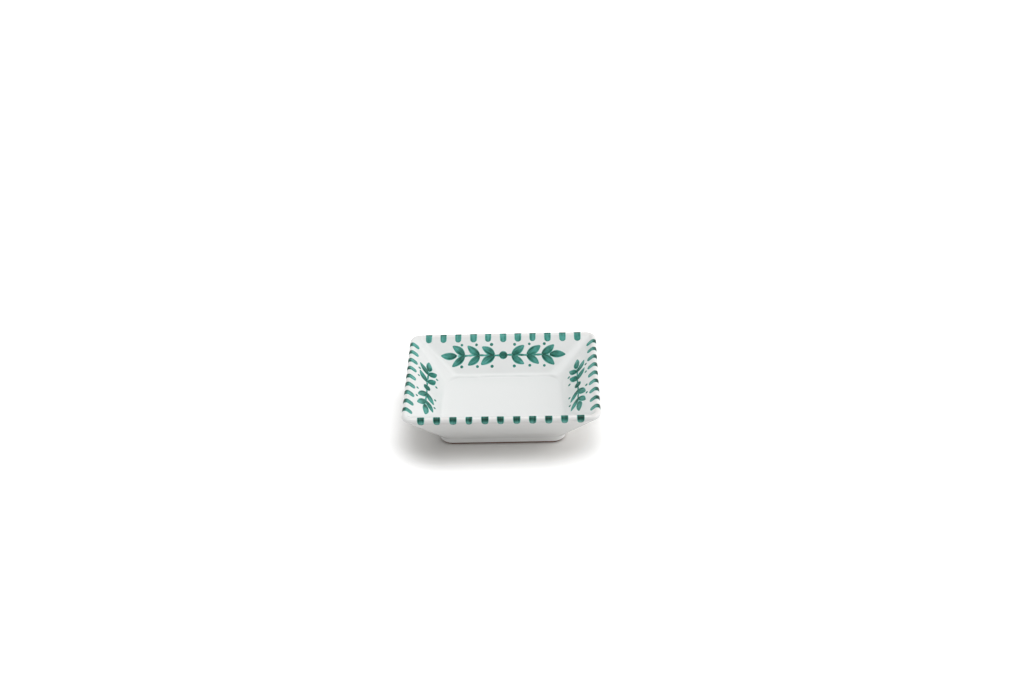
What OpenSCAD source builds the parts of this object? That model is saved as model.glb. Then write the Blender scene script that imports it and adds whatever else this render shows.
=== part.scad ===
// Small rectangular bowl of glazed earthenware with a brushed leaf decoration.
// The origin is under the centre of the foot, on the table. +Z is up and the long side runs along X.

/* [Rim] */
// Length over the lip
rim_length = 90; // [76:1:120]
// Width over the lip
rim_width = 73; // [62:1:100]
// Radius of the rim's outer corners, seen from above
rim_corner_r = 5.2; // [3:0.1:9]
// Thickness of the rounded lip, which is also its full round
lip_thickness = 2.9; // [2.2:0.1:4]
// Height from the table to the crest of the lip
bowl_height = 25.3; // [21:0.1:36]

/* [Well] */
// How far in from the lip's outside the floor of the well would begin if the bend were sharp
floor_inset = 17.3; // [14:0.1:21]
// Thickness of the clay between the well and the hollow of the foot
floor_thickness = 5; // [3:0.1:7]
// Radius of the soft bend between wall and floor
well_bend_r = 4.2; // [1.5:0.1:7]
// Radius of the well's corners at the lip
well_corner_top_r = 3; // [1.5:0.1:6]
// Radius of the well's corners at the floor
well_corner_floor_r = 6.6; // [3:0.1:9]

/* [Foot] */
// How far the foot stands in from the lip's outside
foot_inset = 15.7; // [12:0.1:18]
// Height of the upright face of the foot
foot_height = 3.1; // [2.6:0.1:6]
// Radius of the foot's corners, seen from above
foot_corner_r = 6; // [4:0.1:9]
// Radius of the bend between the outer wall and the foot
foot_bend_r = 2.8; // [1:0.1:5]
// Width of the bare ring that the bowl stands on
foot_ring_width = 3.4; // [2:0.1:5]
// Depth of the hollow inside the foot
recess_depth = 6.2; // [4.5:0.1:8]
// How far the wall of the hollow leans in on its way up
recess_lean = 1.6; // [0:0.1:3]
// Rounding of the two edges of the standing ring
foot_edge_r = 0.5; // [0.2:0.05:0.9]
// Height of the clay that the outer glaze leaves bare
bare_height = 0.9; // [0.6:0.05:1.6]

/* [Glaze] */
// Thickness of the white glaze
glaze_t = 0.35; // [0.2:0.05:0.6]
// Thickness of the painted colour on the glaze
paint_t = 0.12; // [0.05:0.01:0.3]

/* [Garland on the walls] */
// Length of a painted leaf
leaf_length = 8.2; // [5:0.1:9]
// Width of a painted leaf
leaf_width = 3.7; // [1.6:0.1:4.4]
// Angle between a leaf and its stem
leaf_angle = 38; // [20:1:50]
// Distance between leaf pairs along the stem, before they are spread to fill the wall
leaf_pitch = 6.4; // [5.5:0.1:10]
// Width of the painted stem
stem_width = 1.1; // [0.4:0.1:1.6]
// Distance down the wall from the lip to the stem
stem_drop = 9.7; // [8:0.1:10.5]
// Flat wall left bare between the tip of the garland and the round corner
garland_gap = 0.4; // [0.2:0.1:6]
// Diameter of the berry in the middle of each wall
berry_d = 4; // [2:0.1:5]
// Diameter of the buds beside the leaves
bud_d = 1.5; // [0.8:0.1:2]
// How far a bud lies from the stem
bud_rise = 5.4; // [4:0.1:6]
// How far a bud lies ahead of the foot of its leaf
bud_lead = 1.4; // [0:0.1:2.5]

/* [Dabs over the lip] */
// Width of a dab over the lip
dab_width = 3.2; // [1.5:0.1:3.3]
// Distance between the dabs, before they are spread along the side
dab_pitch = 7.2; // [6:0.1:20]
// Distance from the end of the bowl to the last dab
dab_margin = 9; // [8:0.5:16]
// How far a dab runs down the inner wall, with its round tip
dab_inside = 3.2; // [2.6:0.1:3.6]
// How far a dab runs down the outer wall
dab_outside = 2; // [0.4:0.1:3]
// Radius of the blunt round tip of a dab, more than half its width
dab_tip_r = 1.7; // [1.6:0.1:3]

/* [Hidden] */
clay_colour = "#8a5a44";
glaze_colour = "#eeefed";
green = "#3f8f80";
dark_green = "#1f6b59";
corner_steps = 8;
lip_steps = 12;
bend_steps = 5;
edge_steps = 3;
round_fn = 48;

// The lip is a round of this radius about this height
lip_r = lip_thickness / 2;
lip_z = bowl_height - lip_r;
floor_z = recess_depth + floor_thickness;

// The inner wall runs straight from the lip's round to the sharp edge of the floor
in_run = floor_inset - lip_r;
in_rise = lip_z - floor_z;
in_slope = atan2(in_rise, in_run) + asin(lip_r / norm([in_run, in_rise]));
// The outer wall runs straight from the lip's round to the top of the foot
out_run = foot_inset - lip_r;
out_rise = lip_z - foot_height;
out_slope = atan2(out_rise, out_run) - asin(lip_r / norm([out_run, out_rise]));

// Where the inner wall leaves the lip's round, as an inset from the lip's outside and a height
wall_top_inset = lip_r + lip_r * sin(in_slope);
wall_top_z = lip_z + lip_r * cos(in_slope);
// Centre of the bend between wall and floor
bend_z = floor_z + well_bend_r;
bend_inset = lip_r + (lip_r + well_bend_r - (bend_z - lip_z) * cos(in_slope)) / sin(in_slope);
// Centre of the bend between outer wall and foot
foot_bend_inset = foot_inset - foot_bend_r;
foot_bend_z = lip_z - (lip_r + foot_bend_r + (foot_bend_inset - lip_r) * sin(out_slope)) / cos(out_slope);
// Inner edge of the standing ring
ring_in_inset = foot_inset + foot_ring_width;
// Corner radius of the hollow, kept inside the foot's own corner
recess_corner_r = foot_corner_r * foot_inset / ring_in_inset;

// Corner radius of the outside at an inset
function out_corner(inset) = rim_corner_r + (foot_corner_r - rim_corner_r) * inset / foot_inset;
// Corner radius of the lip's inner half at an inset
function lip_corner(inset) = rim_corner_r + (well_corner_top_r - rim_corner_r) * inset / wall_top_inset;
// Corner radius of the well at an inset
function well_corner(inset) = well_corner_top_r
    + (well_corner_floor_r - well_corner_top_r) * (inset - wall_top_inset) / (floor_inset - wall_top_inset);

// A profile is a list of [inset from the lip's outside, height, corner radius].
// Each surface is taken at a depth under the glaze: zero is the glaze itself, glaze_t is the clay.
function well_profile(depth) = [for (k = [0 : bend_steps])
    let (t = in_slope * k / bend_steps, reach = well_bend_r + depth, inset = bend_inset - reach * sin(t))
    [inset, bend_z - reach * cos(t), well_corner(inset)]];
function lip_profile(depth) = [for (k = [0 : lip_steps])
    let (t = in_slope - (in_slope + 180 - out_slope) * k / lip_steps,
         inset = lip_r + (lip_r - depth) * sin(t))
    [inset, lip_z + (lip_r - depth) * cos(t), t > -90 ? lip_corner(inset) : out_corner(inset)]];
function foot_profile(depth) = [for (k = [0 : bend_steps])
    let (t = out_slope + (90 - out_slope) * k / bend_steps,
         inset = foot_bend_inset + (foot_bend_r + depth) * sin(t))
    [inset, foot_bend_z + (foot_bend_r + depth) * cos(t), out_corner(inset)]];
function coat_profile(depth) = concat(well_profile(depth), lip_profile(depth), foot_profile(depth));

// The bare edge of the foot: round under the glaze, flat on the table, round into the hollow
function bare_profile() = concat(
    [[foot_inset + glaze_t, bare_height, out_corner(foot_inset)]],
    [for (k = [0 : edge_steps]) let (t = 90 * k / edge_steps)
        [foot_inset + glaze_t + foot_edge_r * (1 - cos(t)), foot_edge_r * (1 - sin(t)), out_corner(foot_inset)]],
    [for (k = [0 : edge_steps]) let (t = 90 * k / edge_steps)
        [ring_in_inset - foot_edge_r * (1 - sin(t)), foot_edge_r * (1 - cos(t)), recess_corner_r]],
    [[ring_in_inset, bare_height, recess_corner_r]]);
// The hollow inside the foot: a leaning wall and a flat ceiling
function recess_profile(depth) = [
    [ring_in_inset + recess_lean * (1 - foot_edge_r / recess_depth) - depth, recess_depth - foot_edge_r + depth,
        recess_corner_r],
    [ring_in_inset + recess_lean + foot_edge_r - depth, recess_depth + depth, recess_corner_r]];

// One level outline of the bowl: a rectangle with round corners
function ring(p) =
    let (hx = rim_length / 2 - p[0] - p[2], hy = rim_width / 2 - p[0] - p[2])
    [for (q = [0 : 3]) for (k = [0 : corner_steps])
        let (a = 90 * (q + k / corner_steps), sx = (q == 0 || q == 3) ? 1 : -1, sy = q < 2 ? 1 : -1)
        [sx * hx + p[2] * cos(a), sy * hy + p[2] * sin(a), p[1]]];
ring_points = 4 * (corner_steps + 1);

// A closed solid through the rings of a profile, with a flat cap on its first and last ring
module skin(profile) {
    rings = len(profile);
    last = (rings - 1) * ring_points;
    polyhedron(
        points = [for (p = profile) each ring(p)],
        faces = concat(
            [[for (i = [ring_points - 1 : -1 : 0]) i]],
            [for (r = [0 : rings - 2]) for (i = [0 : ring_points - 1])
                let (a = r * ring_points + i, b = r * ring_points + (i + 1) % ring_points)
                each [[a, b, b + ring_points], [a, b + ring_points, a + ring_points]]],
            [[for (i = [0 : ring_points - 1]) last + i]]),
        convexity = 6);
}
function reversed(list) = [for (i = [len(list) - 1 : -1 : 0]) list[i]];

module clay_body() {
    color(clay_colour)
        skin(concat(coat_profile(glaze_t), bare_profile(), recess_profile(glaze_t)));
}

module glaze_coat() {
    color(glaze_colour)
        skin(concat(coat_profile(0), [[foot_inset, bare_height + glaze_t, out_corner(foot_inset)],
            [foot_inset + glaze_t, bare_height, out_corner(foot_inset)]], reversed(coat_profile(glaze_t))));
}

module recess_glaze() {
    color(glaze_colour)
        skin(concat(reversed(recess_profile(glaze_t)), [[ring_in_inset, bare_height, recess_corner_r]],
            recess_profile(0)));
}

function side_length(side) = side % 2 == 0 ? rim_length : rim_width;
function side_reach(side) = side_length(side + 1) / 2;

// Places children on the inner wall of one side: x along the wall, -y down it, +z out of its face
module on_inner_wall(side) {
    rotate([0, 0, 90 * side]) translate([0, side_reach(side) - wall_top_inset, wall_top_z])
        rotate([in_slope, 0, 0]) children();
}

// How far the flat of an inner wall reaches to either side, at a distance down the wall
function flat_reach(side, drop) =
    let (inset = wall_top_inset + drop * cos(in_slope))
    side_length(side) / 2 - inset - well_corner(inset);

// A leaf that starts on the stem and points along +x
module leaf() {
    bow_r = (pow(leaf_length, 2) + pow(leaf_width, 2)) / (4 * leaf_width);
    translate([leaf_length / 2, 0]) intersection() {
        translate([0, bow_r - leaf_width / 2]) circle(r = bow_r, $fn = 4 * round_fn);
        translate([0, leaf_width / 2 - bow_r]) circle(r = bow_r, $fn = 4 * round_fn);
    }
}

// Half a garland: a stem from the middle of the wall with pairs of leaves, and one leaf at its end
module half_garland(side) {
    low_leaf = stem_drop + leaf_length * sin(leaf_angle);
    stem_end = min(flat_reach(side, stem_drop) - leaf_length,
        flat_reach(side, low_leaf) - leaf_length * cos(leaf_angle) + leaf_pitch / 2) - garland_gap;
    pairs = max(1, round((stem_end - berry_d) / leaf_pitch));
    step = (stem_end - berry_d) / (pairs - 1 / 2);
    translate([0, -stem_width / 2]) square([stem_end, stem_width]);
    translate([stem_end, 0]) leaf();
    for (k = [0 : pairs - 1]) translate([berry_d + k * step, 0]) for (up = [-1, 1]) {
        rotate(up * leaf_angle) leaf();
        translate([bud_lead, up * bud_rise]) circle(d = bud_d, $fn = round_fn);
    }
}

module wall_brushwork() {
    color(green) for (side = [0 : 3]) on_inner_wall(side) translate([0, -stem_drop]) linear_extrude(paint_t) {
        half_garland(side);
        mirror([1, 0]) half_garland(side);
        circle(d = berry_d, $fn = round_fn);
    }
}

// A dab seen from its side, at a height over the glaze: down the inner wall, round the lip, down the outer wall
function dab_path(height) = concat(
    [[-(lip_r + height) * sin(in_slope) - dab_inside * cos(in_slope),
        (lip_r + height) * cos(in_slope) - dab_inside * sin(in_slope)]],
    [for (k = [0 : lip_steps]) let (t = in_slope - (in_slope + 180 - out_slope) * k / lip_steps)
        [-(lip_r + height) * sin(t), (lip_r + height) * cos(t)]],
    [[(lip_r + height) * sin(out_slope) - dab_outside * cos(out_slope),
        -(lip_r + height) * cos(out_slope) - dab_outside * sin(out_slope)]]);

module dab_strip() {
    rotate([90, 0, 90]) linear_extrude(dab_width, center = true)
        polygon(concat(dab_path(paint_t), reversed(dab_path(0))));
}

// What the round tip of a dab leaves over, on the inner wall
module tip_corners() {
    translate([0, dab_tip_r - dab_inside]) linear_extrude(dab_tip_r, center = true) difference() {
        translate([-dab_width, -2 * dab_tip_r]) square([2 * dab_width, 2 * dab_tip_r]);
        circle(r = dab_tip_r, $fn = round_fn);
    }
}

module lip_brushwork() {
    color(dark_green) for (side = [0 : 3]) {
        reach = side_length(side) / 2 - dab_margin;
        count = round(reach / dab_pitch);
        for (k = [-count : count]) difference() {
            rotate([0, 0, 90 * side])
                translate([k * reach / count, side_reach(side) - lip_r, lip_z]) dab_strip();
            on_inner_wall(side) translate([k * reach / count, 0]) tip_corners();
        }
    }
}

clay_body();
glaze_coat();
recess_glaze();
wall_brushwork();
lip_brushwork();
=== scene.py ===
# %% [markdown]
# # A small bowl for snacks, glazed white and painted by hand
# Such a bowl is pressed from red-brown clay, dipped in white glaze and then painted. This one
# has a leaf garland along each of its four walls, and short dabs of the same green over its
# lip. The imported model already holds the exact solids, so the first step is to load them. They
# fix every size and place below, and they also show whether the finished pieces stay inside the
# same box.

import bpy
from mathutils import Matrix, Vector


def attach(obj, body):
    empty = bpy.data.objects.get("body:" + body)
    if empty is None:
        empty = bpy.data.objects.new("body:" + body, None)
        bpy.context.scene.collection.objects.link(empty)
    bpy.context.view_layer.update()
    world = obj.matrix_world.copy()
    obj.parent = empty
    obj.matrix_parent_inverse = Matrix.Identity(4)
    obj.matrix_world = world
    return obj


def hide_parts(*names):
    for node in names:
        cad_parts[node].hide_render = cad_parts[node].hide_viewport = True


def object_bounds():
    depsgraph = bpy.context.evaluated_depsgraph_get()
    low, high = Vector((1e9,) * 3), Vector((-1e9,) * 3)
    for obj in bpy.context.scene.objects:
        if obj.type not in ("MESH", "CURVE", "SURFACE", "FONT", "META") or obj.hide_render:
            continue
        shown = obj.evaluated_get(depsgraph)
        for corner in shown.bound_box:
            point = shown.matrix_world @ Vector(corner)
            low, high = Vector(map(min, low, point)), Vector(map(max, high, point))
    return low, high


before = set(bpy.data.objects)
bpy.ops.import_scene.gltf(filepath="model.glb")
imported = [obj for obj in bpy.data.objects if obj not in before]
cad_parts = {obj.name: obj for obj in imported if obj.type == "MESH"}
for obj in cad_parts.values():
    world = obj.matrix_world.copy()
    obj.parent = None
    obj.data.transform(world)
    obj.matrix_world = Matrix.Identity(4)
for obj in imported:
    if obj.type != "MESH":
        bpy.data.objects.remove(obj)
solid_box = [list(corner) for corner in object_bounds()]
print("the solids fill", solid_box)

import random
from math import asin, atan2, cos, degrees, hypot, pi, radians, sin, tan

import bmesh
import bpy
from mathutils import Matrix, Vector

# %% [markdown]
# ## The sizes
# A potter would work from a drawing with one cross-section: lip, sloping walls, floor and foot.
# The same few sizes are written down here in millimetres, and the two slopes follow from them,
# because each wall is a straight line that just touches the round of the lip.

# %% Sizes from the drawing, in millimetres
MM = 0.001
RIM_LENGTH, RIM_WIDTH, RIM_CORNER = 90.0, 73.0, 5.2
BOWL_HEIGHT, LIP_ROUND = 25.3, 1.45
FLOOR_INSET, FLOOR_HEIGHT, WELL_BEND = 17.3, 11.2, 4.2
WELL_CORNER_TOP, WELL_CORNER_FLOOR = 3.0, 6.6
FOOT_INSET, FOOT_HEIGHT, FOOT_CORNER, FOOT_BEND = 15.7, 3.1, 6.0, 2.8
RING_WIDTH, HOLLOW_DEPTH, HOLLOW_LEAN = 3.4, 6.2, 1.6
BARE_HEIGHT, GLAZE_THICKNESS = 0.9, 0.35

LIP_HEIGHT = BOWL_HEIGHT - LIP_ROUND
in_run, in_rise = FLOOR_INSET - LIP_ROUND, LIP_HEIGHT - FLOOR_HEIGHT
IN_SLOPE = atan2(in_rise, in_run) + asin(LIP_ROUND / hypot(in_run, in_rise))
out_run, out_rise = FOOT_INSET - LIP_ROUND, LIP_HEIGHT - FOOT_HEIGHT
OUT_SLOPE = atan2(out_rise, out_run) - asin(LIP_ROUND / hypot(out_run, out_rise))
WALL_TOP_INSET = LIP_ROUND + LIP_ROUND * sin(IN_SLOPE)
WALL_TOP_HEIGHT = LIP_HEIGHT + LIP_ROUND * cos(IN_SLOPE)
print(f"the walls slope {degrees(IN_SLOPE):.1f} degrees inside, {degrees(OUT_SLOPE):.1f} outside")

# %% [markdown]
# ## The camera
# The camera comes first, because every later choice is judged through it. Its angles were
# found from the four edges of the rim: it stands a little to the right of the middle, looks
# down by about a third of a right angle, and is rolled by two degrees. One point of the bowl,
# the middle of the rim, is given the pixel where it has to appear, and the camera's place
# follows from that.

# %% Place the camera
VIEW_DOWN, VIEW_ASIDE, VIEW_ROLL = radians(32.32), radians(1.706), radians(-2.028)
VIEW_DISTANCE = 0.7422
FRAME_WIDTH, MIDDLE_X, MIDDLE_Y = 1024, 511.5, 341.0
FOCAL_PIXELS = 1587.1
RIM_MIDDLE_X, RIM_MIDDLE_Y = 501.45, 375.87

back = Vector((sin(VIEW_ASIDE) * cos(VIEW_DOWN), -cos(VIEW_ASIDE) * cos(VIEW_DOWN), sin(VIEW_DOWN)))
level = (-back).cross(Vector((0, 0, 1))).normalized()
above = level.cross(-back)
across = cos(VIEW_ROLL) * level + sin(VIEW_ROLL) * above
upward = cos(VIEW_ROLL) * above - sin(VIEW_ROLL) * level
aim_x = (RIM_MIDDLE_X - MIDDLE_X) / FOCAL_PIXELS * VIEW_DISTANCE
aim_y = -(RIM_MIDDLE_Y - MIDDLE_Y) / FOCAL_PIXELS * VIEW_DISTANCE

camera_data = bpy.data.cameras.new("camera")
camera_data.lens = FOCAL_PIXELS / FRAME_WIDTH * camera_data.sensor_width
camera_data.clip_start = 0.02
camera = bpy.data.objects.new("camera", camera_data)
camera.matrix_world = Matrix((across, upward, back)).transposed().to_4x4()
camera.location = (Vector((0, 0, LIP_HEIGHT * MM)) + back * VIEW_DISTANCE
                   - across * aim_x - upward * aim_y)
bpy.context.collection.objects.link(camera)
bpy.context.scene.camera = camera
bpy.context.scene.view_settings.view_transform = "Standard"
print(f"a lens of {camera_data.lens:.1f} mm at {tuple(round(c, 3) for c in camera.location)}")

# %% [markdown]
# ## One outline after another
# The walls of the bowl are flat, but its corners are round, and their radius changes on the
# way down. A lathe tool can't make that, and rounding a box with bevels can't either. So the
# shape is built the way it is read from the drawing: one level outline at a time. A plane with
# four rounded corners is the first outline. Its edge is extruded again and again, and each
# time its four corners are scaled and moved to where the next outline has them. A helper that
# selects points by a test does the picking that a hand would do with the mouse.

# %% Helpers that select points in edit mode
def fresh_start():
    """Nothing selected, because an operator acts on all that is."""
    bpy.ops.object.select_all(action="DESELECT")


def edited_mesh():
    return bmesh.from_edit_mesh(bpy.context.object.data)


def pick(points):
    """Select these points, and the edges between them."""
    bpy.ops.mesh.select_all(action="DESELECT")
    for point in points:
        point.select_set(True)
    edited_mesh().select_flush(True)


# %% A helper that builds a shell from outlines
CORNER_STEPS = 10
QUARTERS = [(1, 1), (-1, 1), (-1, -1), (1, -1)]
CLOSE = 0.01 * MM
SMOOTH_BELOW = radians(40)


def corner_centre(outline):
    """Where the round corner of an outline has its centre, for the corner at +X +Y."""
    inset, _, corner = outline
    return RIM_LENGTH / 2 - inset - corner, RIM_WIDTH / 2 - inset - corner


def first_outline(name, outline):
    inset, height, corner = outline
    bpy.ops.mesh.primitive_plane_add(size=1, location=(0, 0, height * MM))
    bpy.context.object.name = bpy.context.object.data.name = name
    bpy.context.object.scale = ((RIM_LENGTH - 2 * inset) * MM, (RIM_WIDTH - 2 * inset) * MM, 1)
    bpy.ops.object.transform_apply(location=True, rotation=False, scale=True)
    bpy.ops.object.mode_set(mode="EDIT")
    bpy.ops.mesh.select_all(action="SELECT")
    bpy.ops.mesh.bevel(offset=corner * MM, segments=CORNER_STEPS, affect="VERTICES", profile=0.5)
    bpy.ops.mesh.delete(type="ONLY_FACE")
    bpy.ops.mesh.select_all(action="SELECT")


def next_outline(old, new):
    """Extrude the last outline and bring its four corners to the next one."""
    bpy.ops.mesh.extrude_region_move()
    shell = edited_mesh()
    newest = [point for point in shell.verts if point.select]
    (old_x, old_y), (new_x, new_y) = corner_centre(old), corner_centre(new)
    growth = new[2] / old[2]
    for x, y in QUARTERS:
        pick(point for point in newest if point.co.x * x > 0 and point.co.y * y > 0)
        bpy.ops.transform.resize(value=(growth, growth, 1),
                                 center_override=(x * old_x * MM, y * old_y * MM, 0))
        bpy.ops.transform.translate(value=(x * (new_x - old_x) * MM, y * (new_y - old_y) * MM,
                                           (new[1] - old[1]) * MM))
    pick(newest)


def close_outline(outline):
    """Fill the open outline that lies at this one's height."""
    shell = edited_mesh()
    pick(point for point in shell.verts
         if point.is_boundary and abs(point.co.z - outline[1] * MM) < CLOSE)
    bpy.ops.mesh.edge_face_add()


# %% [markdown]
# The shells need more than corners: along the straight sides the mesh is divided into cells of
# about two and a half millimetres, so that the surface can later be made a little uneven, as
# glaze is. Dividing only the long edges turns every side into a neat grid.

# %% Finish a shell
CELL = 2.5


def divide_sides(axis, length):
    """Cut the long edges that run along one axis into cells."""
    bpy.ops.mesh.select_all(action="DESELECT")
    shell = edited_mesh()
    for edge in shell.edges:
        a, b = (vert.co for vert in edge.verts)
        edge.select_set(a[axis] * b[axis] < 0 and abs(a[1 - axis] - b[1 - axis]) < CLOSE
                        and abs(a.z - b.z) < CLOSE)
    bpy.ops.mesh.subdivide(number_cuts=round(length / CELL) - 1)


def build_shell(name, outlines):
    fresh_start()
    first_outline(name, outlines[0])
    for old, new in zip(outlines, outlines[1:]):
        next_outline(old, new)
    close_outline(outlines[0])
    close_outline(outlines[-1])
    bpy.ops.mesh.select_mode(type="EDGE")
    divide_sides(0, RIM_LENGTH - 2 * RIM_CORNER)
    divide_sides(1, RIM_WIDTH - 2 * RIM_CORNER)
    bpy.ops.mesh.select_mode(type="VERT")
    bpy.ops.mesh.select_all(action="SELECT")
    bpy.ops.mesh.normals_make_consistent(inside=False)
    bpy.ops.object.mode_set(mode="OBJECT")
    bpy.ops.object.shade_smooth_by_angle(angle=SMOOTH_BELOW)
    shell = bpy.context.object
    check = bmesh.new()
    check.from_mesh(shell.data)
    open_edges = sum(not edge.is_manifold for edge in check.edges)
    print(f"{name}: {len(outlines)} outlines, {len(check.faces)} faces, {open_edges} open edges, "
          f"{check.calc_volume(signed=True) / MM ** 3:.0f} cubic millimetres")
    check.free()
    return shell


# %% [markdown]
# ## The cross-section as outlines
# Each outline is its inset from the outside of the lip, its height, and the radius of its
# corners. The glaze has two skins, one on the clay and one that is seen. Both follow the same
# cross-section, a third of a millimetre apart, so the functions take the depth under the glaze.
# Extra outlines along the straight walls and across the floor only add cells. On the walls one
# of them lies a quarter of a millimetre from each bend: smooth shading spreads a bend's
# roundness over the next cell, so that cell is kept narrow.

# %% The cross-section, from the middle of the floor to the foot
WALL_STEPS, BEND_STEPS, LIP_STEPS, FLOOR_STEPS, SHORT_STEPS = 8, 7, 20, 7, 3
HOLD = 0.25
MIDDLE_INSET, MIDDLE_CORNER = 35.4, 0.6
BEND_HEIGHT = FLOOR_HEIGHT + WELL_BEND
BEND_INSET = LIP_ROUND + (LIP_ROUND + WELL_BEND
                          - (BEND_HEIGHT - LIP_HEIGHT) * cos(IN_SLOPE)) / sin(IN_SLOPE)
FOOT_BEND_INSET = FOOT_INSET - FOOT_BEND
FOOT_BEND_HEIGHT = LIP_HEIGHT - (LIP_ROUND + FOOT_BEND
                                 + (FOOT_BEND_INSET - LIP_ROUND) * sin(OUT_SLOPE)) / cos(OUT_SLOPE)


def outer_corner(inset):
    return RIM_CORNER + (FOOT_CORNER - RIM_CORNER) * inset / FOOT_INSET


def lip_corner(inset):
    return RIM_CORNER + (WELL_CORNER_TOP - RIM_CORNER) * inset / WALL_TOP_INSET


def well_corner(inset):
    share = (inset - WALL_TOP_INSET) / (FLOOR_INSET - WALL_TOP_INSET)
    return WELL_CORNER_TOP + (WELL_CORNER_FLOOR - WELL_CORNER_TOP) * share


def between(start, end, steps):
    """Outlines spread between two others, without the two themselves."""
    return [tuple(a + (b - a) * k / steps for a, b in zip(start, end)) for k in range(1, steps)]


def straight_wall(start, end):
    """A wall between two bends. Its end outlines lie close to the bends and keep them crisp."""
    hold = HOLD / hypot(end[0] - start[0], end[1] - start[1])
    near_start, near_end = (tuple(a + (b - a) * share for a, b in zip(start, end))
                            for share in (hold, 1 - hold))
    return [near_start] + between(start, end, WALL_STEPS) + [near_end]


def well_bend(depth):
    reach = WELL_BEND + depth
    turns = [IN_SLOPE * k / BEND_STEPS for k in range(BEND_STEPS + 1)]
    return [(BEND_INSET - reach * sin(turn), BEND_HEIGHT - reach * cos(turn),
             well_corner(BEND_INSET - reach * sin(turn))) for turn in turns]


def lip_round(depth):
    outlines = []
    for k in range(LIP_STEPS + 1):
        turn = IN_SLOPE - (IN_SLOPE + pi - OUT_SLOPE) * k / LIP_STEPS
        inset = LIP_ROUND + (LIP_ROUND - depth) * sin(turn)
        corner = lip_corner(inset) if turn > -pi / 2 else outer_corner(inset)
        outlines.append((inset, LIP_HEIGHT + (LIP_ROUND - depth) * cos(turn), corner))
    return outlines


def foot_bend(depth):
    turns = [OUT_SLOPE + (pi / 2 - OUT_SLOPE) * k / BEND_STEPS for k in range(BEND_STEPS + 1)]
    return [(FOOT_BEND_INSET + (FOOT_BEND + depth) * sin(turn),
             FOOT_BEND_HEIGHT + (FOOT_BEND + depth) * cos(turn),
             outer_corner(FOOT_BEND_INSET + (FOOT_BEND + depth) * sin(turn))) for turn in turns]


def cross_section(depth):
    well, lip, foot = well_bend(depth), lip_round(depth), foot_bend(depth)
    middle = (MIDDLE_INSET, well[0][1], MIDDLE_CORNER)
    return ([middle] + between(middle, well[0], FLOOR_STEPS) + well
            + straight_wall(well[-1], lip[0]) + lip + straight_wall(lip[-1], foot[0]) + foot)


print(len(cross_section(0)), "outlines from the middle of the floor to the foot")

# %% [markdown]
# ## The white glaze
# The glaze covers the well, the lip and the outer walls down to just above the table. It is a
# coat with a real thickness, so the shell goes down the outside, turns round its lower edge and
# comes back along the clay. A glaze draws back into a rounded bead where it ends, and a quarter
# circle of four steps makes that bead.

# %% Model the glaze
BEAD_STEPS = 4
coat_foot = foot_bend(0)[-1]
bead = [(FOOT_INSET + GLAZE_THICKNESS * (1 - cos(pi / 2 * k / BEAD_STEPS)),
         BARE_HEIGHT + GLAZE_THICKNESS * (1 - sin(pi / 2 * k / BEAD_STEPS)), FOOT_CORNER)
        for k in range(BEAD_STEPS + 1)]
glaze_outlines = (cross_section(0) + between(coat_foot, bead[0], SHORT_STEPS) + bead
                  + cross_section(GLAZE_THICKNESS)[::-1])
white_glaze_coat = build_shell("white_glaze_coat", glaze_outlines)

# %% [markdown]
# ## The clay
# The clay is the bowl itself, and the glaze hides nearly all of it. Only the ring that the bowl
# stands on stays bare, because glaze there would stick to the kiln shelf. It is still modelled
# whole, under the glaze, and closed by the hollow that the foot leaves underneath.

# %% Model the clay
EDGE_ROUND, EDGE_STEPS = 0.5, 5
RING_IN_INSET = FOOT_INSET + RING_WIDTH
HOLLOW_CORNER = FOOT_CORNER * FOOT_INSET / RING_IN_INSET
CEILING_ROUND = 1.1


def ring_edges():
    """The bare ring: round under the glaze, flat on the table, round into the hollow."""
    outlines = [(FOOT_INSET + GLAZE_THICKNESS, BARE_HEIGHT, FOOT_CORNER)]
    turns = [pi / 2 * k / EDGE_STEPS for k in range(EDGE_STEPS + 1)]
    for turn in turns:
        outlines.append((FOOT_INSET + GLAZE_THICKNESS + EDGE_ROUND * (1 - cos(turn)),
                         EDGE_ROUND * (1 - sin(turn)), FOOT_CORNER))
    for turn in turns:
        outlines.append((RING_IN_INSET - EDGE_ROUND * (1 - sin(turn)),
                         EDGE_ROUND * (1 - cos(turn)), HOLLOW_CORNER))
    return outlines + [(RING_IN_INSET, BARE_HEIGHT, HOLLOW_CORNER)]


def hollow(depth):
    """The leaning wall of the hollow, a round bend and its flat ceiling, up to the middle."""
    reach = CEILING_ROUND + depth
    lean = atan2(HOLLOW_LEAN, HOLLOW_DEPTH)
    centre = (RING_IN_INSET + HOLLOW_LEAN + CEILING_ROUND * tan(pi / 4 + lean / 2),
              HOLLOW_DEPTH - CEILING_ROUND)
    turns = [pi / 2 - lean - (pi / 2 - lean) * k / BEND_STEPS for k in range(BEND_STEPS + 1)]
    bend = [(centre[0] - reach * sin(turn), centre[1] + reach * cos(turn), HOLLOW_CORNER)
            for turn in turns]
    middle = (MIDDLE_INSET, bend[-1][1], MIDDLE_CORNER)
    return bend + between(bend[-1], middle, FLOOR_STEPS) + [middle]


ring_outlines = ring_edges()
clay_hollow = hollow(GLAZE_THICKNESS)
clay_outlines = (cross_section(GLAZE_THICKNESS) + ring_outlines
                 + between(ring_outlines[-1], clay_hollow[0], SHORT_STEPS) + clay_hollow)
fired_clay_body = build_shell("fired_clay_body", clay_outlines)

# %% [markdown]
# ## The glaze in the hollow
# Seen from below, the hollow of the foot is glazed too, down to the bare ring. It is a second,
# separate coat, built like the first.

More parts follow.
